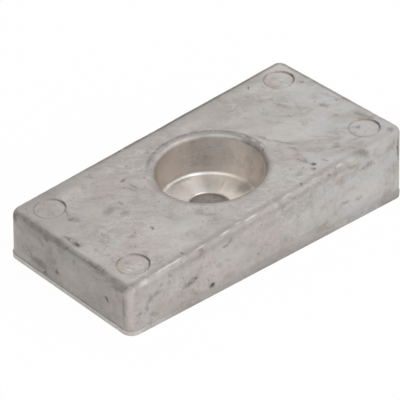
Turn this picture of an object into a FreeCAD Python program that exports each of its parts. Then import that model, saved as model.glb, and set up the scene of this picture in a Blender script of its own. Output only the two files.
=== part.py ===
import FreeCAD, Part
import math
import os

# Sacrificial anode: one cast block, thin at one end and thick at the other, with a pocket in its
# middle that takes the bolt's head. Millimetres. X runs from the thin end to the thick end, Z is up,
# and the origin is the centre of the flat mounting base.

# Block, measured at the base and at the corners before they are rounded
block_length = 75.0
block_width = 38.3
thin_end_height = 11.0
thick_end_height = 16.8
wall_draft_degrees = 1.15
corner_radius = 2.2
top_edge_radius = 1.3

# Thin lip round the base, where the two halves of the die met
lip_width = 0.15
lip_height = 1.05

# Pocket: a shallow dished seat, a flared wall above it, and a round mouth that follows the slope
seat_thickness = 5.0  # metal left under the bolt's head, at the edge of its hole
seat_dish_degrees = 7.0
pocket_foot_radius = 10.1
pocket_flare_degrees = 10.2
pocket_foot_round = 1.0
pocket_mouth_round = 1.15

# Hole for the bolt
bolt_radius = 4.0
bolt_clearance = 0.2
bolt_hole_round = 0.6

# Round marks that the ejector pins left near the four corners of the top
pin_mark_radius = 3.25
pin_mark_inset = 6.25
pin_mark_depth_downhill = 0.1
pin_mark_depth_uphill = 0.3

bolt_hole_radius = bolt_radius + bolt_clearance
above_block = thin_end_height + thick_end_height  # a height that is clear of the whole block


def top_height(x):
    # The top is one plane that climbs from the thin end to the thick end.
    share = x / block_length + 0.5
    return thin_end_height + share * (thick_end_height - thin_end_height)


def closed_face(points):
    return Part.Face(Part.makePolygon(points + points[:1]))


def upright_edges(solid):
    # The edges that climb from the solid's foot to its crown.
    climb = 0.5 * solid.BoundBox.ZLength
    return [e for e in solid.Edges if abs(e.Vertexes[-1].Point.z - e.Vertexes[0].Point.z) > climb]


def top_face(solid):
    # The sloping face: flat, looking up, and the highest of its kind.
    flat = [f for f in solid.Faces if f.Surface.TypeId == "Part::GeomPlane"]
    return max([f for f in flat if f.normalAt(0, 0).z > 0.5], key=lambda f: f.CenterOfMass.z)


def drafted_walls():
    # Four flat leaning walls, rounded where they meet, standing taller than the block.
    half_length = block_length / 2 - lip_width
    half_width = block_width / 2 - lip_width
    lean = above_block * math.tan(math.radians(wall_draft_degrees))
    walls = Part.makeWedge(-half_length, 0, -half_width, lean - half_width, lean - half_length,
                           half_length, above_block, half_width, half_width - lean, half_length - lean)
    walls.rotate(FreeCAD.Vector(0, 0, 0), FreeCAD.Vector(1, 0, 0), 90)
    return walls.makeFillet(corner_radius, upright_edges(walls))


def space_under_top():
    # A wide prism whose upper side is the sloping top.
    side = closed_face([
        FreeCAD.Vector(-block_length, -block_width, 0),
        FreeCAD.Vector(block_length, -block_width, 0),
        FreeCAD.Vector(block_length, -block_width, top_height(block_length)),
        FreeCAD.Vector(-block_length, -block_width, top_height(-block_length)),
    ])
    return side.extrude(FreeCAD.Vector(0, 2 * block_width, 0))


def wedge_body():
    body = drafted_walls().common(space_under_top())
    return body.makeFillet(top_edge_radius, top_face(body).OuterWire.Edges)


def parting_lip():
    lip = Part.makeBox(block_length, block_width, lip_height)
    lip.translate(FreeCAD.Vector(-block_length / 2, -block_width / 2, 0))
    return lip.makeFillet(corner_radius + lip_width, upright_edges(lip))


def pocket_space():
    # Turned about the bolt's axis: dished seat, rounded foot, flared wall.
    dish = math.tan(math.radians(seat_dish_degrees))
    flare = math.tan(math.radians(pocket_flare_degrees))
    centre_height = seat_thickness - bolt_hole_radius * dish
    foot_height = centre_height + pocket_foot_radius * dish
    mouth_radius = pocket_foot_radius + (above_block - foot_height) * flare
    profile = closed_face([
        FreeCAD.Vector(0, 0, centre_height),
        FreeCAD.Vector(pocket_foot_radius, 0, foot_height),
        FreeCAD.Vector(mouth_radius, 0, above_block),
        FreeCAD.Vector(0, 0, above_block),
    ])
    space = profile.revolve(FreeCAD.Vector(0, 0, 0), FreeCAD.Vector(0, 0, 1), 360)
    return space.makeFillet(pocket_foot_round, circles(space, pocket_foot_radius, foot_height))


def circles(solid, radius, height):
    # The level round edges of that radius at that height.
    found = []
    for edge in solid.Edges:
        if edge.Curve.TypeId == "Part::GeomCircle" and abs(edge.Curve.Radius - radius) < 0.001:
            if abs(edge.Curve.Center.z - height) < 0.001:
                found.append(edge)
    return found


def mouth_edges(solid):
    # Where the flared wall breaks through the sloping top: every edge of the top but its outline.
    top = top_face(solid)
    inner = [w for w in top.Wires if not w.isSame(top.OuterWire)]
    return [e for w in inner for e in w.Edges]


def bolt_hole_space():
    hole = Part.makeCylinder(bolt_hole_radius, 2 * seat_thickness)
    hole.translate(FreeCAD.Vector(0, 0, -seat_thickness / 2))
    return hole


def pin_mark_space(x_side, y_side):
    # The pin's end leans a little less than the top, so the mark is shallow downhill and deeper uphill.
    x = x_side * (block_length / 2 - pin_mark_inset)
    y = y_side * (block_width / 2 - pin_mark_inset)
    width = 2 * pin_mark_radius
    middle = top_height(x) - (pin_mark_depth_downhill + pin_mark_depth_uphill) / 2
    climb = top_height(width) - top_height(0) + pin_mark_depth_downhill - pin_mark_depth_uphill
    side = closed_face([
        FreeCAD.Vector(x - width, y - width, middle - climb),
        FreeCAD.Vector(x + width, y - width, middle + climb),
        FreeCAD.Vector(x + width, y - width, above_block),
        FreeCAD.Vector(x - width, y - width, above_block),
    ])
    pin = Part.makeCylinder(pin_mark_radius, above_block)
    pin.translate(FreeCAD.Vector(x, y, 0))
    return pin.common(side.extrude(FreeCAD.Vector(0, 2 * width, 0)))


def anode_block():
    block = wedge_body().fuse(parting_lip()).removeSplitter()
    block = block.cut(pocket_space())
    block = block.makeFillet(pocket_mouth_round, mouth_edges(block))
    block = block.cut(bolt_hole_space())
    block = block.makeFillet(bolt_hole_round, circles(block, bolt_hole_radius, seat_thickness))
    for x_side in (-1, 1):
        for y_side in (-1, 1):
            block = block.cut(pin_mark_space(x_side, y_side))
    return block.Solids[0]


os.makedirs("parts", exist_ok=True)
block = anode_block()
print("anode_block: valid", block.isValid(), "volume", round(block.Volume), "mm3")
block.exportStep("parts/anode_block.step")
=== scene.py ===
import math
import bpy
from mathutils import Matrix, Vector


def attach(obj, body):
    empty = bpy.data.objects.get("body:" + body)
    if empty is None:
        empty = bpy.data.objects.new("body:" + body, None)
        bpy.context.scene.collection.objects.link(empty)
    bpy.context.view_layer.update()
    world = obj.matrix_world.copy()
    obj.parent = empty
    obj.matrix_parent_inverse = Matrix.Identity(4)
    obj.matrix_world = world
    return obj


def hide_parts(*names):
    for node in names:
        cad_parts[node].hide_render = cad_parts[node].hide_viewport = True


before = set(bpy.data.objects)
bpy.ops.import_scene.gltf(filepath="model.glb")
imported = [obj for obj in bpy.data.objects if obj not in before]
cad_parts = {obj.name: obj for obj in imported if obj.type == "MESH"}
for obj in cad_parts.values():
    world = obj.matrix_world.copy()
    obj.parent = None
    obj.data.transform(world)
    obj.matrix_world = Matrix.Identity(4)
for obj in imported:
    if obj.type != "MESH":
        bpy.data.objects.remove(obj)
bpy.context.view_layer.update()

mm = 0.001  # the scene is in metres, sizes below are in millimetres


# Helpers for modelling

def onlySelect(piece):
    bpy.ops.object.select_all(action="DESELECT")
    piece.select_set(True)
    bpy.context.view_layer.objects.active = piece


def editMode():
    bpy.ops.object.mode_set(mode="EDIT")


def objectMode():
    bpy.ops.object.mode_set(mode="OBJECT")


def sliceBy(axis, low, high, step):  # adds rows of edges, the shape stays
    direction = [0, 0, 0]
    direction[axis] = 1
    for row in range(int((high - low) / step) + 1):
        bpy.ops.mesh.select_all(action="SELECT")
        spot = [0, 0, 0]
        spot[axis] = (low + row * step) * mm
        bpy.ops.mesh.bisect(plane_co=spot, plane_no=direction)


# The cast block

block = {
    "slope": (16.8 - 11.0) / 75.0, "middleHeight": 13.9,  # the top's plane
    "halfLength": 37.35, "halfWidth": 19.0, "draft": math.tan(math.radians(1.15)),  # the walls' planes
    "rows": 0.75,  # how close the rows of edges lie
    "rowSpans": ((-37.1, 37.4), (-18.9, 19.0), (0.35, 16.6)),  # where they start and end on each axis
    "swells": {  # unevenness of the casting: part of the block, size of a swell and its height
        "broad": ("skin", 7.0, 0.12),
        "small": ("skin", 1.7, 0.035),
        "edge": ("edges", 1.1, 0.10),
        "lip": ("lip", 1.4, 0.13),
    },
    "lipHeight": 1.05, "edgeReach": 2.4, "seatHeight": 5.3,
    "endEdge": -36.85, "endEdgeDrop": 0.38,  # the middle of the rounding over the thin end
    "pinMarks": {"x": 31.25, "y": 12.9, "radius": 3.25, "groove": 0.15, "sink": 0.04},
    "pitRaggedness": 0.16,
}

# Pits in the skin: side, place along and up it, half length, half width, turn, depth
pits = [
    ("top", -21.3, -6.9, 0.66, 0.32, -104, 0.35), ("top", -15.1, 9.3, 0.55, 0.2, 17, 0.18),
    ("top", -11.6, 6.9, 0.60, 0.28, -131, 0.15), ("top", 15.2, -14.6, 0.58, 0.37, -60, 0.30),
    ("top", 14.2, -15.6, 0.50, 0.27, -55, 0.20), ("top", 12.8, -13.9, 0.30, 0.26, -47, 0.20),
    ("top", 8.8, -17.7, 0.60, 0.26, -124, 0.30), ("top", -35.1, -0.1, 0.86, 0.43, -86, 0.30),
    ("top", -35.2, 2.2, 0.45, 0.23, -67, 0.20), ("top", -24.6, -5.6, 0.41, 0.16, -126, 0.15),
    ("top", -22.6, -17.2, 0.48, 0.28, -87, 0.20), ("top", 33.9, 8.6, 0.41, 0.32, -19, 0.20),
    ("top", 24.6, 15.2, 0.66, 0.20, -132, 0.20),
    ("front", -20.9, 5.9, 0.90, 0.50, 13, 0.50), ("front", -22.4, 5.5, 0.92, 0.37, 11, 0.42),
    ("front", -16.2, 2.4, 0.61, 0.53, 13, 0.90), ("front", -17.2, 4.0, 0.20, 0.15, -91, 0.20),
    ("front", 15.6, 14.3, 0.56, 0.22, -41, 0.30),
    ("end", 12.0, 5.5, 0.68, 0.33, -57, 0.35), ("end", -3.6, 3.6, 0.32, 0.26, 8, 0.30),
    ("end", -7.2, 1.5, 0.64, 0.50, -3, 0.50),
    ("end edge", 1.6, 0.0, 3.4, 0.13, 0, 0.14), ("end edge", 6.6, 0.1, 2.8, 0.12, 0, 0.12),
    ("top", 11.6, 1.2, 0.60, 0.24, 96, 0.50), ("top", 12.0, -0.9, 0.40, 0.18, 85, 0.30),
    ("top", 11.7, -3.2, 0.45, 0.20, 75, 0.40),
]


def topHeight(x):
    return block["middleHeight"] + block["slope"] * x


def sideFrame(side, along, up, turn):  # where a place on a side is, and how a mark on it is turned
    turned = math.radians(turn)
    lean = block["draft"] * up
    if side == "front":
        return Vector((along, lean - block["halfWidth"], up)) * mm, (math.pi / 2, -turned, 0.0)
    if side == "end":
        return Vector((lean - block["halfLength"], -along, up)) * mm, (math.pi / 2, -turned, -math.pi / 2)
    if side == "end edge":  # the rounding between the top and the thin end
        x = block["endEdge"]
        place = Vector((up + x, -along, topHeight(x) - block["endEdgeDrop"]))
        return place * mm, (math.pi / 4, 0.0, -math.pi / 2)
    height = block["seatHeight"] if side == "seat" else topHeight(along)
    return Vector((along, up, height)) * mm, (0.0, 0.0, turned)


def makeBlock():
    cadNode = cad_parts["anode_block"]
    piece = cadNode.copy()
    piece.data = cadNode.data.copy()
    piece.name = "cast_block"
    bpy.context.scene.collection.objects.link(piece)
    onlySelect(piece)
    bpy.ops.mesh.customdata_custom_splitnormals_clear()
    editMode()
    bpy.ops.mesh.select_all(action="SELECT")
    bpy.ops.mesh.remove_doubles(threshold=0.001 * mm)  # the copy comes as loose triangles
    bpy.ops.mesh.dissolve_limited(angle_limit=math.radians(0.1))  # flat sides become whole again
    for axis, (low, high) in enumerate(block["rowSpans"]):
        sliceBy(axis, low, high, block["rows"])
    objectMode()
    return piece


def gapsFromEdge(spot):  # how far below the top and how far inside the walls a spot lies
    x, y, z = spot / mm
    lean = block["draft"] * z
    side = min(block["halfLength"] - lean - abs(x), block["halfWidth"] - lean - abs(y))
    return max(topHeight(x) - z, 0.0), max(side, 0.0)


def weighParts(piece):  # which points each kind of unevenness moves, and how much
    parts = {name: piece.vertex_groups.new(name=name) for name in ("skin", "edges", "lip")}
    reach, lipHeight = block["edgeReach"], block["lipHeight"]
    for point in piece.data.vertices:
        height = point.co.z / mm
        below, inside = gapsFromEdge(point.co)
        climb = min(max((height - lipHeight - 0.15) / 1.5, 0.0), 1.0)
        parts["skin"].add([point.index], climb, "REPLACE")
        if below + inside < reach and height > 3.0:  # the edges of the top
            parts["edges"].add([point.index], 1.0 - (below + inside) / reach, "REPLACE")
        if 0.2 < height < lipHeight + 0.1 and inside < 0.5:  # the base itself stays flat
            parts["lip"].add([point.index], 1.0, "REPLACE")


def makeUneven(piece):
    weighParts(piece)
    for name, (part, size, height) in block["swells"].items():
        cloud = bpy.data.textures.new(name, "CLOUDS")
        cloud.noise_scale = size * mm
        cloud.noise_depth = 2
        swell = piece.modifiers.new(name, "DISPLACE")
        swell.texture = cloud
        swell.texture_coords = "LOCAL"
        swell.vertex_group = part
        swell.strength = height * mm
        onlySelect(piece)
        bpy.ops.object.modifier_apply(modifier=name)


def pitCutter(number, side, along, up, halfLength, halfWidth, turn, depth):
    place, turned = sideFrame(side, along, up, turn)
    bpy.ops.mesh.primitive_ico_sphere_add(subdivisions=3, radius=1.0, location=place, rotation=turned)
    cutter = bpy.context.object
    cutter.scale = (halfLength * mm, halfWidth * mm, depth * mm)
    bpy.ops.object.transform_apply(location=True, rotation=True, scale=True)
    editMode()
    bpy.ops.mesh.select_all(action="SELECT")
    rough = block["pitRaggedness"] * min(halfWidth, depth) * mm
    bpy.ops.transform.vertex_random(offset=rough, normal=1.0, seed=number)
    objectMode()
    return cutter


def grooveCutter(x, y, mark):  # a ring that lies in the sloping top
    bpy.ops.mesh.primitive_torus_add(
        major_radius=mark["radius"] * mm, minor_radius=mark["groove"] * mm, major_segments=72,
        minor_segments=8, location=Vector((x, y, topHeight(x) + mark["sink"])) * mm,
        rotation=(0, -math.atan(block["slope"]), 0))
    bpy.ops.object.transform_apply(location=True, rotation=True, scale=True)
    return bpy.context.object


def carve(piece, cutters, name):
    onlySelect(cutters[0])
    for cutter in cutters:
        cutter.select_set(True)
    bpy.ops.object.join()
    tool = bpy.context.object
    cut = piece.modifiers.new(name, "BOOLEAN")
    cut.operation = "DIFFERENCE"
    cut.object = tool
    onlySelect(piece)
    bpy.ops.object.modifier_apply(modifier=name)
    bpy.data.objects.remove(tool)


def carveMarks(piece):
    mark = block["pinMarks"]
    rings = []
    for xSide in (-1, 1):
        for ySide in (-1, 1):
            rings.append(grooveCutter(xSide * mark["x"], ySide * mark["y"], mark))
    carve(piece, rings, "rings")
    for first in (0, 1):  # neighbours overlap, so they are cut in two rounds
        carve(piece, [pitCutter(number, *pit) for number, pit in enumerate(pits[first::2])], "pits")


castBlock = makeBlock()
makeUneven(castBlock)
carveMarks(castBlock)
onlySelect(castBlock)
bpy.ops.object.shade_smooth_by_angle(angle=math.radians(35))
print("cast block:", len(castBlock.data.polygons), "faces")


# Materials

class Wire:  # a socket that can be added, multiplied and so on
    def __init__(self, finish, socket):
        self.finish = finish
        self.socket = socket

    def __add__(self, other):
        return self.finish.maths("ADD", self, other)

    def __sub__(self, other):
        return self.finish.maths("SUBTRACT", self, other)

    def __rsub__(self, other):
        return self.finish.maths("SUBTRACT", other, self)

    def __mul__(self, other):
        return self.finish.maths("MULTIPLY", self, other)

    __radd__ = __add__
    __rmul__ = __mul__


class Finish:  # one material and its nodes
    def __init__(self, name):
        self.material = bpy.data.materials.new(name)
        self.material.use_nodes = True
        self.tree = self.material.node_tree
        self.tree.nodes.clear()
        self.spot = self.node("ShaderNodeTexCoord", output="Object")
        self.spotInMm = self.vector("MULTIPLY", self.spot, (1 / mm, 1 / mm, 1 / mm))

    def node(self, kind, settings=None, sockets=None, output=0):
        made = self.tree.nodes.new(kind)
        for key, value in (settings or {}).items():
            setattr(made, key, value)
        for key, value in (sockets or {}).items():
            if isinstance(value, Wire):
                self.tree.links.new(value.socket, made.inputs[key])
            else:
                made.inputs[key].default_value = value
        return Wire(self, made.outputs[output])

    def maths(self, operation, first, second=0.0):
        return self.node("ShaderNodeMath", {"operation": operation}, {0: first, 1: second})

    def vector(self, operation, first, second=(0, 0, 0), output="Vector"):
        return self.node("ShaderNodeVectorMath", {"operation": operation}, {0: first, 1: second}, output)

    def length(self, line):
        return self.vector("LENGTH", line, output="Value")

    def frame(self, spot, place, turned, size):  # the spot as seen from a turned and stretched frame
        return self.node("ShaderNodeMapping", {"vector_type": "TEXTURE"}, {
            "Vector": spot, "Location": place, "Rotation": turned, "Scale": size})

    def clouds(self, spot, scale, seed, detail=4.0, roughness=0.55, warp=0.0, output=0):
        return self.node("ShaderNodeTexNoise", {"noise_dimensions": "4D"}, {
            "Vector": spot, "W": seed, "Scale": scale, "Detail": detail, "Roughness": roughness,
            "Distortion": warp}, output)

    def ease(self, value, low, high, start=0.0, end=1.0):  # a soft step between two levels
        return self.node("ShaderNodeMapRange", {"interpolation_type": "SMOOTHSTEP"}, {
            "Value": value, "From Min": low, "From Max": high, "To Min": start, "To Max": end})

    def tint(self, share, under, over):
        return self.node("ShaderNodeMix", {"data_type": "RGBA"}, {0: share, 6: under, 7: over}, output=2)

    def surface(self, shader):
        output = self.tree.nodes.new("ShaderNodeOutputMaterial")
        self.tree.links.new(shader.socket, output.inputs["Surface"])


castMetal = {
    "pale": (0.60, 0.575, 0.55, 1), "mean": (0.49, 0.460, 0.435, 1), "deep": (0.33, 0.305, 0.285, 1),
    "pink": (0.53, 0.445, 0.43, 1), "moss": (0.45, 0.44, 0.37, 1), "steel": (0.53, 0.54, 0.55, 1),
    "rust": (0.36, 0.27, 0.16, 1), "blush": (0.66, 0.575, 0.55, 1),
    "grimeAndShade": (0.125, 0.102, 0.09, 1), "glint": (0.76, 0.73, 0.69, 1),
    "metallic": 0.7, "roughness": 0.5,
    "flow": {"turn": -41.0, "stretch": 1.8},  # the way the metal's skin ran
    "markDepth": 1.3,  # how far in from the skin a stain reaches, in millimetres
    # How strong each kind of mark is, the painted shade and painted light among them
    "smudges": 0.34, "lines": 0.22, "swirls": 0.55, "specks": 0.55,
    "endShadeAndDirt": 0.15, "farEdge": 0.58, "frontEdge": 0.16, "uprights": 0.5, "lipLine": 0.16,
    "frontFoot": 0.2, "rings": 0.5, "mouthRing": 0.46, "mouthShade": 0.34, "rimShade": 0.15,
    "stepLight": 0.55, "dullEdge": 0.6, "nearCorner": 0.6, "crest": 0.5, "farRim": 0.7,
    "relief": 0.4, "reliefHeight": 0.06,  # fine bumps, their height in millimetres
}

pocketMetal = {
    "pale": (0.74, 0.70, 0.67, 1), "deep": (0.59, 0.54, 0.50, 1), "roughness": 0.44,
    "seat": (0.93, 0.91, 0.89, 1), "warmSeat": (0.955, 0.88, 0.80, 1), "hole": (0.55, 0.51, 0.47, 1),
    "seatShading": 0.7, "tarnish": 0.2,
    "innerRim": 11.75, "outerRim": 12.75, "holeRadius": 4.25,  # in millimetres from the bolt's axis
}

# Dark stains: side, place along and up it, half length, half width, turn, strength
stains = [
    ("top", -15.1, 9.5, 0.85, 0.42, 7, 0.4), ("top", -14.9, 6.1, 1.23, 0.21, -90, 0.45),
    ("top", -15.7, 5.3, 0.97, 0.19, -84, 0.35), ("top", -20.4, 3.5, 0.88, 0.24, -95, 0.4),
    ("top", -23.7, 3.4, 1.22, 1.05, -4, 0.3), ("top", -21.9, 0.8, 0.92, 0.98, -26, 0.3),
    ("top", -29.5, -1.5, 1.04, 0.2, -113, 0.3), ("top", -30.8, 6.9, 0.42, 0.56, 5, 0.45),
    ("top", -30.0, 6.3, 1.08, 0.72, -73, 0.25), ("top", -29.8, 9.2, 1.36, 0.3, -121, 0.3),
    ("top", -25.9, -6.1, 0.77, 0.66, 10, 0.2), ("top", -33.4, -4.3, 0.46, 0.29, -90, 0.35),
    ("top", -34.8, 2.7, 1.42, 0.42, -73, 0.4), ("top", -34.9, -0.0, 1.39, 0.56, -90, 0.45),
    ("top", -6.5, 9.8, 1.48, 0.36, 78, 0.25), ("top", 23.4, 9.3, 1.47, 0.48, -40, 0.15),
    ("top", 25.1, 5.5, 2.16, 0.48, -78, 0.20), ("top", 27.1, 2.7, 2.19, 0.27, -114, 0.15),
    ("top", 34.2, 1.2, 2.24, 0.33, -77, 0.20), ("top", 31.2, -1.2, 1.11, 0.59, -76, 0.3),
    ("top", 14.4, -0.7, 1.57, 0.36, -81, 0.35), ("top", 16.0, -4.1, 2.41, 0.33, -64, 0.3),
    ("top", 16.1, -7.9, 1.27, 0.3, -80, 0.3), ("top", 14.7, -12.7, 0.82, 0.43, -86, 0.35),
    ("top", 15.3, -14.5, 0.74, 0.56, -60, 0.5), ("top", 14.1, -15.6, 0.61, 0.4, -53, 0.4),
    ("top", 11.4, -14.6, 0.45, 0.32, -69, 0.3), ("top", 23.2, -13.1, 0.63, 0.69, -31, 0.3),
    ("top", 16.5, 11.5, 1.18, 0.33, -29, 0.22), ("top", 34.2, -9.5, 2.19, 0.57, -77, 0.35),
    ("top", 34.3, -17.2, 0.74, 0.69, -61, 0.35), ("top", 24.7, 15.5, 1.41, 0.34, -115, 0.17),
    ("top", 33.7, 8.8, 1.0, 0.66, -25, 0.17), ("top", -10.9, -11.2, 2.78, 0.49, -46, 0.2),
    ("top", -5.6, 12.2, 1.97, 0.45, -109, 0.2), ("top", -11.6, 5.3, 1.71, 0.33, -110, 0.2),
    ("front", -21.6, 5.8, 1.92, 0.73, 17, 0.4), ("front", -16.2, 2.3, 1.06, 0.84, 5, 0.4),
    ("front", -27.1, 10.1, 0.89, 0.39, -46, 0.35), ("front", -29.3, 8.8, 0.52, 0.4, -63, 0.3),
    ("front", -27.2, 8.1, 0.74, 0.22, -72, 0.25), ("front", -33.1, 5.1, 1.28, 0.54, 81, 0.36),
    ("front", -32.1, 6.7, 1.03, 0.69, 30, 0.36), ("front", -30.5, 7.3, 1.05, 0.57, 10, 0.32),
    ("front", -31.4, 2.9, 1.44, 0.46, -26, 0.29), ("front", -32.2, 1.4, 0.89, 0.47, -83, 0.22),
    ("front", -34.9, 4.6, 0.76, 0.38, 14, 0.32), ("front", -35.0, 3.6, 0.29, 0.35, -1, 0.22),
    ("front", -20.3, 2.4, 2.88, 0.59, -41, 0.25), ("front", -18.9, 12.0, 1.13, 0.26, -25, 0.35),
    ("front", -12.6, 10.0, 0.79, 0.29, -1, 0.4), ("front", -11.5, 10.5, 0.66, 0.32, 52, 0.4),
    ("front", -21.9, 12.2, 0.9, 0.29, 3, 0.3), ("front", -14.3, 6.3, 0.71, 0.79, -139, 0.25),
    ("front", -11.8, 2.5, 1.74, 0.84, -175, 0.25), ("front", 5.5, 13.2, 1.46, 0.41, -32, 0.35),
    ("front", -0.9, 14.2, 1.92, 0.36, -11, 0.3), ("front", 25.0, 15.6, 2.51, 0.82, -36, 0.45),
    ("front", 20.3, 5.6, 1.15, 0.39, -7, 0.3), ("front", 24.2, 4.9, 1.01, 0.43, 2, 0.3),
    ("front", 27.3, 12.1, 1.15, 0.55, -1, 0.3), ("front", 31.8, 0.6, 2.38, 0.4, -7, 0.35),
    ("front", 35.4, 12.2, 2.38, 0.29, -86, 0.7), ("front", 17.3, 13.8, 2.83, 0.39, -5, 0.25),
    ("front", 11.3, 2.7, 4.78, 0.56, 0, 0.2), ("end", -16.9, 9.9, 1.03, 0.88, -84, 0.6),
    ("end", -14.1, 11.2, 2.27, 0.88, 5, 0.46), ("end", -9.6, 11.7, 2.95, 0.95, 12, 0.46),
    ("end", -6.8, 10.7, 1.89, 1.24, -3, 0.40), ("end", -3.3, 11.1, 2.19, 1.34, -5, 0.46),
    ("end", -2.3, 9.4, 1.1, 1.45, -47, 0.31), ("end", -9.4, 3.0, 2.9, 1.01, 4, 0.5),
    ("end", -7.6, 2.7, 1.2, 0.79, -51, 0.5), ("end", -14.5, 4.1, 0.33, 0.52, -14, 0.35),
    ("end", -12.2, 4.3, 2.52, 0.5, -42, 0.3), ("end", -8.5, 8.3, 1.91, 0.48, -36, 0.25),
    ("end", -1.6, 7.1, 2.2, 0.46, -117, 0.25), ("end", 1.9, 8.9, 1.41, 0.32, -104, 0.35),
    ("end", 4.6, 10.9, 2.4, 0.45, 15, 0.19), ("end", -3.6, 3.7, 0.64, 0.68, -14, 0.5),
    ("end", 7.5, 10.9, 2.46, 0.58, 8, 0.28), ("end", 10.5, 10.7, 1.25, 0.61, 13, 0.31),
    ("end", 14.1, 10.4, 3.07, 0.93, 12, 0.34), ("end", 15.4, 9.7, 2.3, 0.70, 12, 0.50),
    ("end", 11.9, 5.4, 0.95, 0.65, -52, 0.4), ("end", 9.8, 4.1, 2.11, 1.13, -56, 0.25),
    ("end", 16.9, 5.6, 3.49, 0.46, -88, 0.4), ("end", 14.3, 3.0, 0.69, 0.31, 29, 0.2),
    ("end", -6.5, 9.8, 0.7, 0.5, 20, 0.5), ("end", -3.0, 10.8, 0.8, 0.35, -10, 0.55),
    ("end", -1.0, 10.5, 0.6, 0.4, 30, 0.45), ("end", 6.3, 10.9, 0.9, 0.25, 8, 0.5),
    ("end", 8.4, 10.9, 0.8, 0.3, 14, 0.5), ("end", 10.2, 10.8, 0.6, 0.3, -12, 0.45),
    ("end", 13.8, 10.8, 1.0, 0.3, 10, 0.45), ("end", 14.3, 9.6, 0.9, 0.45, 15, 0.5),
    ("end", 17.0, 10.3, 0.8, 0.4, 60, 0.4), ("end", -8.7, 10.6, 0.8, 0.4, 0, 0.4),
    ("end", -11.9, 10.5, 0.7, 0.4, -20, 0.35), ("top", 30.6, -11.8, 0.5, 0.42, 0, 0.5),
    ("top", 28.2, -12.6, 1.3, 0.4, 92, 0.3), ("top", 24.4, -18.2, 1.8, 0.8, -14, 0.3),
    ("top", 22.6, -13.6, 0.9, 0.45, -50, 0.35), ("top", 17.9, -15.3, 0.8, 0.35, -60, 0.35),
    ("top", 14.3, -11.5, 0.7, 0.3, -80, 0.35), ("top", 16.8, 7.4, 1.2, 0.4, -45, 0.15),
    ("top", 24.8, 8.6, 1.1, 0.4, -60, 0.15), ("front", 21.6, 13.6, 1.6, 0.4, -20, 0.35),
    ("top", 11.5, 1.2, 1.2, 0.3, 96, 0.3), ("top", 11.4, -1.2, 2.6, 0.3, 88, 0.3),
    ("end", -5.6, 7.4, 1.8, 0.9, 70, 0.26), ("end", -4.8, 5.5, 1.6, 1.0, 60, 0.28),
    ("end", -6.4, 4.7, 1.4, 0.7, 80, 0.26), ("top", -32.2, -13.6, 0.55, 0.12, -75, 0.35),
    ("top", -32.5, -12.9, 0.26, 0.24, 0, 0.45), ("top", -31.6, 11.7, 0.3, 0.26, 0, 0.35),
    ("top", -33.3, 14.0, 0.4, 0.3, 40, 0.3),
]

# Pale speckled patches, written the same way, as are all lists below
blooms = [
    ("top", 22.6, -3.4, 6.0, 3.8, -41, 0.75), ("top", 15.5, 10.5, 4.5, 2.6, 20, 0.4),
    ("top", 31.0, -4.5, 4.0, 2.2, -50, 0.35), ("top", -21.0, -9.0, 6.0, 3.0, -30, 0.3),
    ("front", -12.0, 8.6, 4.0, 2.2, 0, 0.5), ("front", 4.0, 8.0, 6.0, 2.6, 8, 0.35),
    ("front", 26.0, 6.5, 8.0, 3.5, 0, 0.9), ("front", -28.0, 6.0, 2.0, 2.2, 0, 0.35),
    ("end", 1.5, 6.0, 7.5, 2.8, 0, 0.8), ("top", -10.5, -9.0, 6.5, 3.5, -41, 0.5),
    ("top", 31.6, -13.3, 2.4, 2.2, 0, 0.7), ("front", 14.0, 7.0, 6.0, 3.0, 0, 0.4),
]

# Broad darker areas
shades = [
    ("top", -10.5, 12.4, 8.5, 2.2, 0, 0.45), ("top", 16.5, 12.2, 8.0, 2.6, 0, 0.4),
    ("top", -33.0, 9.5, 3.5, 8.0, 0, 0.3), ("top", -26.0, -3.0, 6.0, 5.0, 0, 0.22),
    ("top", -28.0, -16.0, 5.0, 2.0, 0, 0.3), ("top", 3.5, -14.2, 9.0, 2.8, 0, 0.3),
    ("top", 27.5, 8.0, 2.6, 2.4, 0, 0.42), ("top", 27.0, -8.0, 3.0, 2.4, 0, 0.25),
    ("front", 9.0, 10.9, 7.5, 2.2, 4, 0.45), ("front", 19.0, 14.0, 8.0, 0.9, 4, 0.22),
    ("end", -5.0, 6.0, 2.8, 2.2, 60, 0.22), ("end", -11.0, 9.4, 4.0, 1.1, 8, 0.4),
    ("top", -2.5, 13.2, 5.0, 1.8, 0, 0.55), ("front", 33.5, 10.5, 2.6, 5.0, 0, 0.3),
    ("top", 30.5, -15.6, 3.0, 1.6, 0, 0.25), ("front", 26.5, 13.6, 2.6, 0.8, 4, 0.4),
    ("top", -12.0, 8.5, 4.0, 1.8, 0, 0.3), ("top", 33.2, -8.0, 1.8, 2.0, 0, 0.3),
]

# Broad paler areas
sheens = [
    ("end", 0.5, 3.8, 3.6, 3.4, 0, 0.6), ("end", -12.5, 1.9, 5.0, 0.9, 0, 0.5),
    ("end", 16.5, 4.0, 1.5, 3.0, 0, 0.45), ("front", 26.0, 6.0, 4.5, 2.0, 0, 0.6),
    ("front", -12.0, 6.0, 6.0, 1.8, 0, 0.4), ("top", -15.0, -11.5, 3.0, 2.4, 0, 0.5),
    ("top", 33.5, 14.5, 2.8, 3.4, 0, 0.7), ("top", 18.0, -2.0, 5.0, 3.4, -40, 0.3),
    ("top", -24.5, 12.6, 4.5, 2.2, 0, 0.4), ("front", -21.0, 8.8, 3.2, 1.3, 0, 0.4),
    ("front", -33.0, 10.2, 2.4, 0.8, 4, 0.4), ("end", -16.8, 2.0, 1.4, 1.1, 0, 0.6),
    ("end", 15.5, 1.9, 2.0, 0.9, 0, 0.4),
]

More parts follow.
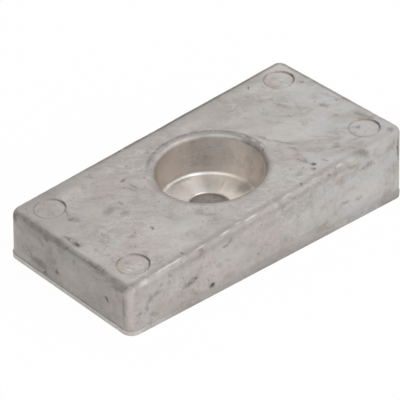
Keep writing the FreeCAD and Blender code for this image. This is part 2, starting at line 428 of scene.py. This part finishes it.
# Yellow-brown stains
warmStains = [
    ("top", 33.3, -10.2, 1.1, 0.4, -41, 0.55), ("top", -27.8, 3.4, 1.3, 0.8, -40, 0.18),
    ("top", -22.0, 8.0, 2.4, 0.9, 0, 0.14), ("front", -30.0, 4.0, 1.6, 0.9, 10, 0.12),
    ("end", 1.0, 5.0, 5.0, 2.6, 0, 0.10), ("end", 12.5, 7.5, 4.5, 2.0, -20, 0.10),
    ("top", 28.6, 11.8, 0.9, 2.2, 20, 0.3), ("top", -33.2, -11.6, 0.8, 2.0, -40, 0.25),
]

# Painted highlights along the front top edge, partly over worn metal, painted reflections on the pocket's
# seat, and bright specks by the pocket's rim and in a mark
glints = [
    ("top", -26.6, -18.08, 3.9, 0.17, 0, 0.70), ("top", -18.5, -18.13, 1.2, 0.18, 0, 0.49),
    ("top", -12.1, -18.18, 1.1, 0.16, 0, 0.56), ("top", -8.5, -17.88, 0.75, 0.18, 0, 0.56),
    ("top", -5.3, -18.18, 1.6, 0.18, 0, 0.49), ("top", 4.5, -18.08, 1.2, 0.2, 0, 0.28),
    ("top", 12.1, -18.08, 0.8, 0.2, 0, 0.28), ("top", 18.9, -18.23, 0.8, 0.16, 0, 0.4),
    ("top", -33.1, -18.28, 0.8, 0.45, 0, 0.35), ("top", -36.1, -18.58, 0.5, 0.35, 0, 0.42),
    ("seat", 2.0, 6.8, 2.4, 0.9, 73, 0.35), ("seat", 7.2, 1.5, 2.0, 0.9, 11, 0.6),
    ("top", 12.6, 0.3, 0.5, 0.2, 95, 0.4), ("top", 12.5, -2.1, 0.45, 0.2, 80, 0.4),
    ("top", 12.1, 3.0, 0.5, 0.2, 104, 0.3), ("top", -32.8, -13.7, 0.75, 0.2, -75, 0.6),
]

# Painted shade and dark reflections in strips across the pocket's seat
seatShades = [
    ("seat", 8.9, -1.0, 2.2, 1.7, -6, 0.8), ("seat", 4.6, 3.9, 2.5, 1.3, 41, 0.4),
    ("seat", 5.9, 3.0, 1.6, 0.35, 27, 0.4), ("seat", -1.0, -7.0, 2.4, 1.2, -98, 0.35),
    ("seat", -7.0, 2.0, 2.2, 1.0, 164, 0.35), ("seat", -1.6, 7.2, 3.0, 2.6, 100, 0.5),
    ("seat", 0.4, 10.0, 1.1, 3.2, 88, 0.9), ("seat", -3.4, 4.6, 2.4, 2.0, 128, 0.5),
]


def lieOfSpot(metal):  # where a spot lies: distances in millimetres, and shares from nought to one
    x, y, z = (metal.node("ShaderNodeSeparateXYZ", None, {0: metal.spotInMm}, output=axis)
               for axis in ("X", "Y", "Z"))
    below = metal.maths("MAXIMUM", block["middleHeight"] + x * block["slope"] - z)
    lean = z * block["draft"]
    fromEnds = block["halfLength"] - lean - metal.maths("ABSOLUTE", x)
    fromSides = block["halfWidth"] - lean - metal.maths("ABSOLUTE", y)
    inside = metal.maths("MAXIMUM", metal.maths("MINIMUM", fromEnds, fromSides))
    mark = block["pinMarks"]
    across = x - metal.maths("SIGN", x) * mark["x"]
    along = y - metal.maths("SIGN", y) * mark["y"]
    fromMark = metal.node("ShaderNodeCombineXYZ", None, {0: across, 1: along})
    frontEdge = metal.ease(y, -16.6, -17.4)
    return {
        "x": x, "y": y, "z": z,
        "below": below, "inside": inside,  # how far below the top and inside the walls
        "edge": below + inside, "corner": fromEnds + fromSides, "sides": below + fromSides,
        "mark": metal.length(fromMark),  # from the middle of the nearest ejector mark
        "markSide": across * 0.87 - along * 0.5,  # towards the right of that mark, for the camera
        "markFar": across * 0.66 + along * 0.75,  # towards its far side
        "radius": metal.length(metal.vector("MULTIPLY", metal.spotInMm, (1, 1, 0))),
        "aslant": x * 0.75 - y * 0.66,  # across the pocket, from left to right for the camera
        "backRim": metal.ease(x * 0.17 + y * 0.98, 9.0, 11.0),  # the far side of the pocket's mouth
        "thin": metal.ease(x, 32.0, 25.0, 0.1, 1.0),  # little of it at the thick end
        "frontEdge": frontEdge,  # the long edge nearest to the camera
        "dullEdge": frontEdge * metal.ease(x, 18.0, 23.0),  # its dull stretch, at the thick end
        "frontFoot": metal.ease(y, -17.6, -18.6) * metal.ease(x, -31.0, -22.0),  # not at the thin end
    }


def streaks(metal, spot, scale, seed, width):  # thin winding lines
    cloud = metal.clouds(spot, scale, seed, 3, 0.55, 1.2)
    return metal.ease(metal.maths("ABSOLUTE", cloud - 0.5), width, 0.0)


def lineAt(metal, value, place, halfWidth):  # one where the value is at its place, nothing beside it
    return metal.ease(metal.maths("ABSOLUTE", value - place), halfWidth, halfWidth * 0.3)


def marksOf(metal, rows, spot, ragged):  # full up to half a mark's size, gone at one and a half
    cover = None
    for side, along, up, halfLength, halfWidth, turn, strength in rows:
        place, turned = sideFrame(side, along, up, turn)
        size = (halfLength * mm, halfWidth * mm, castMetal["markDepth"] * mm)
        distance = metal.length(metal.frame(spot, place, turned, size))
        mark = metal.ease(distance + ragged, 1.5, 0.5, 0.0, strength)
        cover = mark if cover is None else metal.maths("MAXIMUM", cover, mark)
    return cover


def skinColour(metal, lie, flowing, bloom, mottle, grain):  # tones and tints of the cast skin
    broad = metal.clouds(flowing, 0.07, 1.0, 3)
    cloud = metal.clouds(flowing, 0.24, 2.0, 5, 0.62, 1.0)
    onEnd = metal.ease(lie["x"], -36.0, -36.9)
    onFront = metal.ease(lie["y"], -17.8, -18.5)
    fine = (grain - 0.5) * (onEnd * 0.24 - onFront * 0.06)  # the thin end is grainier, the front smoother
    level = broad * 0.2 + cloud * 0.42 + mottle * 0.24 + grain * 0.14 + fine
    colour = metal.tint(metal.ease(level, 0.35, 0.52), castMetal["deep"], castMetal["mean"])
    colour = metal.tint(metal.ease(level, 0.50, 0.65), colour, castMetal["pale"])
    patches = metal.clouds(metal.spotInMm, 0.11, 5.0, 2)
    colour = metal.tint(metal.ease(patches, 0.54, 0.68, 0.0, 0.45), colour, castMetal["pink"])
    colour = metal.tint(metal.ease(patches, 0.44, 0.34, 0.0, 0.2), colour, castMetal["moss"])
    speckled = bloom * metal.ease(mottle * 0.6 + grain * 0.4, 0.42, 0.60)
    colour = metal.tint(speckled, colour, castMetal["pale"])
    soft = (mottle - 0.5) * 2.0
    colour = metal.tint(marksOf(metal, shades, metal.spot, soft), colour, castMetal["deep"])
    colour = metal.tint(marksOf(metal, sheens, metal.spot, soft), colour, castMetal["pale"])
    warm = marksOf(metal, warmStains, metal.spot, (grain - 0.5) * 2.0)
    colour = metal.tint(warm, colour, castMetal["rust"])
    thickHalf = metal.ease(lie["x"] - lie["y"] * 0.6, 12.0, 34.0, 0.0, 0.6)
    colour = metal.tint(thickHalf * metal.ease(cloud, 0.4, 0.6), colour, castMetal["steel"])
    swirls = streaks(metal, flowing, 0.36, 8.0, 0.05) * metal.ease(broad, 0.46, 0.58)
    return metal.tint(swirls * castMetal["swirls"], colour, castMetal["pale"])


def skinGrime(metal, flowing, bloom, mottle, grain):  # smudges, specks and stains, as a share of dirt
    where = metal.ease(metal.clouds(metal.spotInMm, 0.10, 6.0, 2), 0.44, 0.60) * (1.0 - bloom * 0.7)
    smudges = metal.ease(metal.clouds(flowing, 0.55, 7.0, 5, 0.66, 0.6), 0.55, 0.72) * where
    lines = streaks(metal, flowing, 0.42, 12.0, 0.045) * where * metal.ease(mottle, 0.42, 0.62)
    cells = {name: metal.node("ShaderNodeTexVoronoi", None, {"Vector": metal.spotInMm, "Scale": 0.55},
                              output=name) for name in ("Distance", "Color")}
    pick = metal.node("ShaderNodeSeparateColor", None, {0: cells["Color"]})
    specks = metal.ease(cells["Distance"], 0.16, 0.06) * metal.ease(pick, 0.72, 0.74)
    grimeAndShade = metal.maths("MAXIMUM", smudges * castMetal["smudges"] + lines * castMetal["lines"],
                        specks * castMetal["specks"])
    drift = metal.vector("SUBTRACT", metal.clouds(metal.spotInMm, 1.1, 9.0, 3, 0.6, output="Color"),
                         (0.5, 0.5, 0.5))
    ragged = (grain - 0.5) * 2.2
    for half in (stains[::2], stains[1::2]):  # one after the other: a shader holds about sixty at once
        moved = metal.vector("MULTIPLY", drift, (grimeAndShade * 0.3 + 1.6) * mm)
        spot = metal.vector("ADD", metal.spot, moved)
        grimeAndShade = metal.maths("MAXIMUM", grimeAndShade, marksOf(metal, half, spot, ragged))
    return grimeAndShade, specks


def edgeShadeAndDirt(metal, lie, mottle):  # dirt, and painted shade, along the edges, the lip, the round marks and the pocket's mouth
    lipHeight, markRadius = block["lipHeight"], block["pinMarks"]["radius"]
    innerRim, outerRim = pocketMetal["innerRim"], pocketMetal["outerRim"]
    # painted shade along the far edges of the top; back makes the top darker towards its back edge
    far = metal.ease(lie["x"] * 0.45 + lie["y"], 6.0, 14.0) * metal.ease(lie["edge"], 1.8, 1.1, 0.0, 0.7)
    back = metal.ease(lie["y"], 10.0, 16.0) * metal.ease(lie["sides"], 6.0, 0.8, 0.0, 0.4)
    far = far + back * lie["thin"]
    # painted shade: a soft dark band just inside the front top edge, before its highlight
    front = metal.ease(lie["edge"], 2.6, 1.5) * (lie["frontEdge"] - lie["dullEdge"] * 0.8)
    # end darkens the thin end and its top edge: dirt along the edge, painted shade over the side turned
    # from the lamps
    end = metal.ease(lie["x"] - metal.maths("MAXIMUM", lie["y"]) * 0.05, -35.2, -36.8)
    # darker along the two upright edges at the left and right of the outline
    upright = metal.ease(lie["corner"], 1.9, 1.1) * metal.ease(lie["x"] * lie["y"], -100, -300)
    atEnd = metal.ease(lie["x"], -34.0, -36.5)
    # painted shade in the crease above the lip at the thin end, partly dirt
    lipLine = lineAt(metal, lie["z"], lipHeight + 0.12, 0.19) * atEnd
    lipLine = lipLine * metal.ease(mottle, 0.36, 0.56, 0.3, 1.0)
    # darker towards the foot of the front
    foot = metal.ease(lie["z"], 3.0, 1.4) * lie["frontFoot"] * metal.ease(mottle, 0.3, 0.6, 0.6, 1.3)
    foot = foot * metal.ease(lie["z"], lipHeight + 0.2, lipHeight, 0.9, 1.25)
    onTop = metal.ease(lie["below"], 0.6, 0.2)
    # a dark ring in each mark's groove: partly dirt, partly painted shade, heavier on the mark's right
    rings = lineAt(metal, lie["mark"], markRadius - 0.05, 0.3) * onTop
    rings = rings * metal.ease(mottle, 0.36, 0.54, 0.25, 1.0)
    rings = rings * metal.ease(lie["markSide"], -1.0, 2.6, 0.7, 1.2)
    rings = rings * metal.ease(lie["markFar"], 1.6, 2.8, 1.0, 0.4)
    away = lie["x"] * 0.5 + lie["y"] * 0.87
    # a dark ring just outside the pocket's mouth, strongest on its far side
    mouth = lineAt(metal, lie["radius"], outerRim, 0.65) * onTop
    mouth = mouth * metal.ease(away, 1.0, 6.0, 0.15, 1.0) * metal.ease(mottle, 0.3, 0.55, 0.4, 1.0)
    shade = metal.ease(lie["radius"], outerRim + 0.75, outerRim - 0.75) * metal.ease(away, 3.0, -4.0)
    # painted shade that dims the lamp's reflection on the pocket's far rim
    dull = lineAt(metal, lie["radius"], innerRim - 0.15, 1.0) * lie["backRim"]
    dull = dull * metal.ease(lie["below"], 1.6, 1.1)
    grimeAndShade = end * castMetal["endShadeAndDirt"] * metal.ease(mottle, 0.3, 0.6, 0.6, 1.2)
    covers = {
        "farEdge": far * metal.ease(mottle, 0.25, 0.5, 0.5, 1.0), "frontEdge": front,
        "uprights": upright, "lipLine": lipLine, "frontFoot": foot, "rings": rings,
        "mouthRing": mouth, "mouthShade": shade, "rimShade": dull,
    }
    for name, cover in covers.items():
        grimeAndShade = metal.maths("MAXIMUM", grimeAndShade, cover * castMetal[name])
    return grimeAndShade


def pocketColour(metal, lie, mottle):  # cleaner metal with faint rays over the seat; the seat is also painted paler, as lit from above, and painted reflections change its tone from the camera's left to right
    aslant = lie["aslant"]
    around = metal.vector("NORMALIZE", metal.vector("MULTIPLY", metal.spotInMm, (1, 1, 0)))
    rays = metal.clouds(around, 1.4, 10.0, 3, 0.6)
    rings = metal.clouds(metal.vector("MULTIPLY", metal.spotInMm, (0.15, 0.15, 1.0)), 1.0, 11.0, 4, 0.6)
    # painted light and shade: the pocket darker on the camera's left and lighter on its right
    turned = metal.ease(aslant, -8.0, 0.0, -0.22, 0.03) + metal.ease(aslant, 2.0, 8.0, 0.0, 0.12)
    shine = rays * 0.35 + rings * 0.45 + mottle * 0.3 + turned
    colour = metal.tint(metal.ease(shine, 0.38, 0.62), pocketMetal["deep"], pocketMetal["pale"])
    # the seat is painted paler: partly cleaner metal, partly painted light on the upward-facing seat
    onSeat = metal.ease(lie["z"], 6.6, 5.9)
    cleanAndLit = metal.ease(rays, 0.35, 0.55, 0.5, 1.0) * metal.ease(aslant, -7.0, 3.0, 0.6, 1.0)
    # the seat's tint warms towards the camera's right: a painted reflection
    seat = metal.tint(metal.ease(aslant, -6.0, 6.0), pocketMetal["seat"], pocketMetal["warmSeat"])
    colour = metal.tint(onSeat * cleanAndLit, colour, seat)
    # painted warm reflections on the pocket's right
    right = metal.ease(aslant, 1.0, 6.0, 0.0, 0.55) * metal.ease(mottle, 0.38, 0.6, 0.4, 1.0)
    colour = metal.tint(right, colour, pocketMetal["warmSeat"])
    tarnish = metal.ease(metal.clouds(metal.spotInMm, 0.32, 13.0, 4, 0.6), 0.48, 0.62) * (1.0 - onSeat)
    colour = metal.tint(tarnish * pocketMetal["tarnish"], colour, castMetal["deep"])
    # painted shade and dark reflections in strips over the seat
    seatShading = marksOf(metal, seatShades, metal.spot, (mottle - 0.5) * 1.2)
    colour = metal.tint(seatShading * pocketMetal["seatShading"], colour, castMetal["deep"])
    inHole = metal.ease(lie["radius"], pocketMetal["holeRadius"] + 0.2, pocketMetal["holeRadius"])
    brown = metal.tint(metal.ease(mottle, 0.4, 0.6, 0.0, 0.5), pocketMetal["hole"], castMetal["deep"])
    return metal.tint(inHole, colour, brown), rays, inHole


def highlightsAndWear(metal, lie, mottle, grain):  # painted highlights, partly over worn lines, and a painted highlight on the pocket's far rim
    lines = marksOf(metal, glints, metal.spot, (grain - 0.5) * 2.6)
    rim = lineAt(metal, lie["radius"], pocketMetal["innerRim"], 0.7) * metal.ease(lie["below"], 0.05, 0.25)
    rim = rim * metal.ease(lie["below"], 1.3, 0.9) * metal.ease(lie["y"], 1.0, 4.0)
    rim = rim * (1.0 - lie["backRim"] * 0.7)
    return metal.maths("MAXIMUM", lines, rim * metal.ease(mottle, 0.3, 0.55, 0.15, 0.45))


def edgeColour(metal, lie, colour, grain):  # the bare lip, painted light in the step above it, the near corner with a painted highlight, and painted light on the far rims of the round marks
    lipHeight = block["lipHeight"]
    atEnd = metal.ease(lie["x"], -34.0, -36.8)
    lip = metal.ease(lie["z"], lipHeight - 0.01, lipHeight - 0.15) * (atEnd * 0.85 + 0.15)
    lip = lip * (1.0 - lie["frontFoot"])
    colour = metal.tint(lip * metal.ease(grain, 0.3, 0.5, 0.7, 1.0), colour, castMetal["glint"])
    # painted light over the shade in the step above the lip, all round the base and more along the front
    lipCornerLight = lineAt(metal, lie["z"], lipHeight + 0.05, 0.35) * metal.ease(lie["inside"], 0.6, 0.3)
    stepLight = lineAt(metal, lie["z"], lipHeight + 0.09, 0.22) * lie["frontFoot"] * castMetal["stepLight"]
    bright = metal.maths("MAXIMUM", lipCornerLight * (atEnd * 0.3 + 0.2), stepLight)
    colour = metal.tint(bright, colour, castMetal["glint"])
    nearCorner = metal.ease(lie["corner"], 1.85, 1.35) * metal.ease(lie["x"] + lie["y"], -50.0, -53.0)
    dullEdge = lie["dullEdge"] * metal.ease(lie["edge"], 2.6, 1.0)
    colour = metal.tint(dullEdge * castMetal["dullEdge"], colour, castMetal["pale"])
    colour = metal.tint(nearCorner * castMetal["nearCorner"], colour, castMetal["blush"])
    # crest paints a highlight along the near upright edge
    crest = nearCorner * metal.ease(lie["corner"], 1.5, 1.32) * metal.ease(grain, 0.35, 0.55)
    colour = metal.tint(crest * castMetal["crest"], colour, castMetal["glint"])
    # painted light on the far wall of each mark's recess, lifting its shade, with a warm tint
    farRim = lineAt(metal, lie["mark"], block["pinMarks"]["radius"], 0.35)
    farRim = farRim * metal.ease(lie["markFar"], 1.9, 2.9)
    farRim = farRim * metal.ease(lie["below"], 0.02, 0.08) * metal.ease(lie["below"], 0.6, 0.4)
    return metal.tint(farRim * castMetal["farRim"], colour, castMetal["blush"])


def paintCastMetal():
    metal = Finish("cast_metal")
    lie = lieOfSpot(metal)
    flow = castMetal["flow"]
    flowing = metal.frame(metal.spot, (0, 0, 0), (0, 0, math.radians(flow["turn"])),
                          (flow["stretch"] * mm, mm, mm))
    mottle = metal.clouds(metal.spotInMm, 0.85, 3.0, 4, 0.6, 0.4)
    grain = metal.clouds(metal.spotInMm, 3.2, 4.0, 3, 0.6)

    bloom = marksOf(metal, blooms, metal.spot, (mottle - 0.5) * 2.0)
    grimeAndShade, specks = skinGrime(metal, flowing, bloom, mottle, grain)
    # the painted shade along edges, rims and creases joins the dirt here
    grimeAndShade = metal.maths("MAXIMUM", grimeAndShade, edgeShadeAndDirt(metal, lie, mottle))
    outerRim = pocketMetal["outerRim"]
    inPocket = metal.ease(lie["radius"], outerRim - 0.35, outerRim - 0.75)
    inPocket = inPocket * metal.ease(lie["below"], 0.7, 1.1)
    grimeAndShade = grimeAndShade * metal.ease(grain, 0.3, 0.62, 0.7, 1.2) * (1.0 - inPocket * 0.6)
    glint = highlightsAndWear(metal, lie, mottle, grain)
    edgeWear = metal.ease(lie["edge"], 1.5, 0.8) * metal.ease(lie["below"], 0.0, 0.1)

    colour = skinColour(metal, lie, flowing, bloom, mottle, grain)
    colour = edgeColour(metal, lie, colour, grain)
    bare, rays, inHole = pocketColour(metal, lie, mottle)
    colour = metal.tint(inPocket, colour, bare)
    # dirt, with painted shade along edges, rims and creases
    colour = metal.tint(grimeAndShade, colour, castMetal["grimeAndShade"])
    # painted highlights, partly over worn metal
    colour = metal.tint(glint, colour, castMetal["glint"])

    metallic = castMetal["metallic"] - grimeAndShade * 0.4
    metallic = metallic + inPocket * (1.0 - inHole) * (1.0 - metallic)
    rough = castMetal["roughness"] + (mottle - 0.5) * 0.35 + grimeAndShade * 0.25 + edgeWear * 0.1 - glint * 0.08
    rough = rough + lie["dullEdge"] * metal.ease(lie["edge"], 2.0, 1.2) * 0.2
    rough = rough + inPocket * (pocketMetal["roughness"] + (rays - 0.5) * 0.2 - rough)
    relief = metal.node("ShaderNodeBump", None, {
        "Strength": castMetal["relief"], "Distance": castMetal["reliefHeight"] * mm,
        "Height": mottle * 0.5 + grain * 0.4 - specks * 0.5}, output="Normal")
    metal.surface(metal.node("ShaderNodeBsdfPrincipled", None, {
        "Base Color": colour, "Roughness": rough, "Metallic": metallic, "Normal": relief}))
    return metal.material


castBlock.data.materials.clear()
castBlock.data.materials.append(paintCastMetal())
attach(castBlock, "root")
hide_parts("anode_block")
print("cast metal: done")


# Floor, lamps and camera

studio = {
    "floorSize": 6.0, "paper": (0.95, 0.95, 0.95, 1),
    "paperGlow": 0.97, "paperGloss": 0.42,  # how white the camera and the metal see it
    "world": 0.36, "aim": (0.0, 0.0, 0.007),
    "lamps": {  # where each stands and its size, in metres, and its power
        "key": {"place": (0.38, -1.02, 0.88), "size": 1.7, "power": 14.0},
        "left": {"place": (-0.97, -0.26, 0.9), "size": 1.2, "power": 3.2},
        "far": {"place": (0.8, 1.1, 1.1), "size": 2.0, "power": 8.3},
    },
}


def addFloor():
    bpy.ops.mesh.primitive_plane_add(size=studio["floorSize"], location=(0, 0, 0))
    floor = bpy.context.object
    floor.name = "studio_floor"
    paper = Finish("studio_paper")
    lightPath = {name: paper.node("ShaderNodeLightPath", output=name)
                 for name in ("Is Camera Ray", "Is Glossy Ray", "Is Transmission Ray")}
    mirrored = lightPath["Is Glossy Ray"] + lightPath["Is Transmission Ray"]
    seen = lightPath["Is Camera Ray"] * studio["paperGlow"] + mirrored * studio["paperGloss"]
    matte = paper.node("ShaderNodeBsdfDiffuse", None, {"Color": studio["paper"]})
    white = paper.node("ShaderNodeEmission", None, {"Color": (1, 1, 1, 1), "Strength": 1.0})
    paper.surface(paper.node("ShaderNodeMixShader", None, {0: seen, 1: matte, 2: white}))
    floor.data.materials.append(paper.material)


def addLamps():
    aim = Vector(studio["aim"])
    for name, lamp in studio["lamps"].items():
        place = Vector(lamp["place"])
        bpy.ops.object.light_add(type="AREA", location=place)
        light = bpy.context.object
        light.name = name
        light.rotation_euler = (aim - place).to_track_quat("-Z", "Y").to_euler()
        light.data.shape = "DISK"
        light.data.size = lamp["size"]
        light.data.energy = lamp["power"]


def addWorld():  # white for the camera, a dimmer room for the block
    world = bpy.data.worlds.new("studio_world")
    bpy.context.scene.world = world
    world.use_nodes = True
    nodes, links = world.node_tree.nodes, world.node_tree.links
    nodes.clear()
    path = nodes.new("ShaderNodeLightPath")
    room = nodes.new("ShaderNodeBackground")
    room.inputs["Strength"].default_value = studio["world"]
    white = nodes.new("ShaderNodeBackground")
    white.inputs["Strength"].default_value = 1.0
    for background in (room, white):
        background.inputs["Color"].default_value = (1, 1, 1, 1)
    mix = nodes.new("ShaderNodeMixShader")
    links.new(path.outputs["Is Camera Ray"], mix.inputs[0])
    links.new(room.outputs[0], mix.inputs[1])
    links.new(white.outputs[0], mix.inputs[2])
    output = nodes.new("ShaderNodeOutputWorld")
    links.new(mix.outputs[0], output.inputs["Surface"])


cameraView = {  # turned and raised from the block's long front side, in degrees
    "turn": -41.344, "rise": 33.864, "roll": -0.352,
    "distance": 0.5105, "target": (0.004362, 0.007920, 0.0), "lens": 219.81,
    "sensor": 36.0,
}


def addCamera():
    turn, rise, roll = (math.radians(cameraView[name]) for name in ("turn", "rise", "roll"))
    back = Vector((math.sin(turn) * math.cos(rise), -math.cos(turn) * math.cos(rise), math.sin(rise)))
    across = (-back).cross(Vector((0, 0, 1))).normalized()
    upright = across.cross(-back)
    sideways = math.cos(roll) * across + math.sin(roll) * upright
    upright = math.cos(roll) * upright - math.sin(roll) * across
    place = Vector(cameraView["target"]) + back * cameraView["distance"]
    bpy.ops.object.camera_add()
    camera = bpy.context.object
    facing = Matrix((sideways, upright, back)).transposed().to_4x4()
    camera.matrix_world = Matrix.Translation(place) @ facing
    camera.data.lens = cameraView["lens"]
    camera.data.sensor_width = cameraView["sensor"]
    camera.data.clip_start = 0.01
    bpy.context.scene.camera = camera


addFloor()
addLamps()
addWorld()
addCamera()
bpy.context.scene.view_settings.view_transform = "Standard"
print("studio: done")
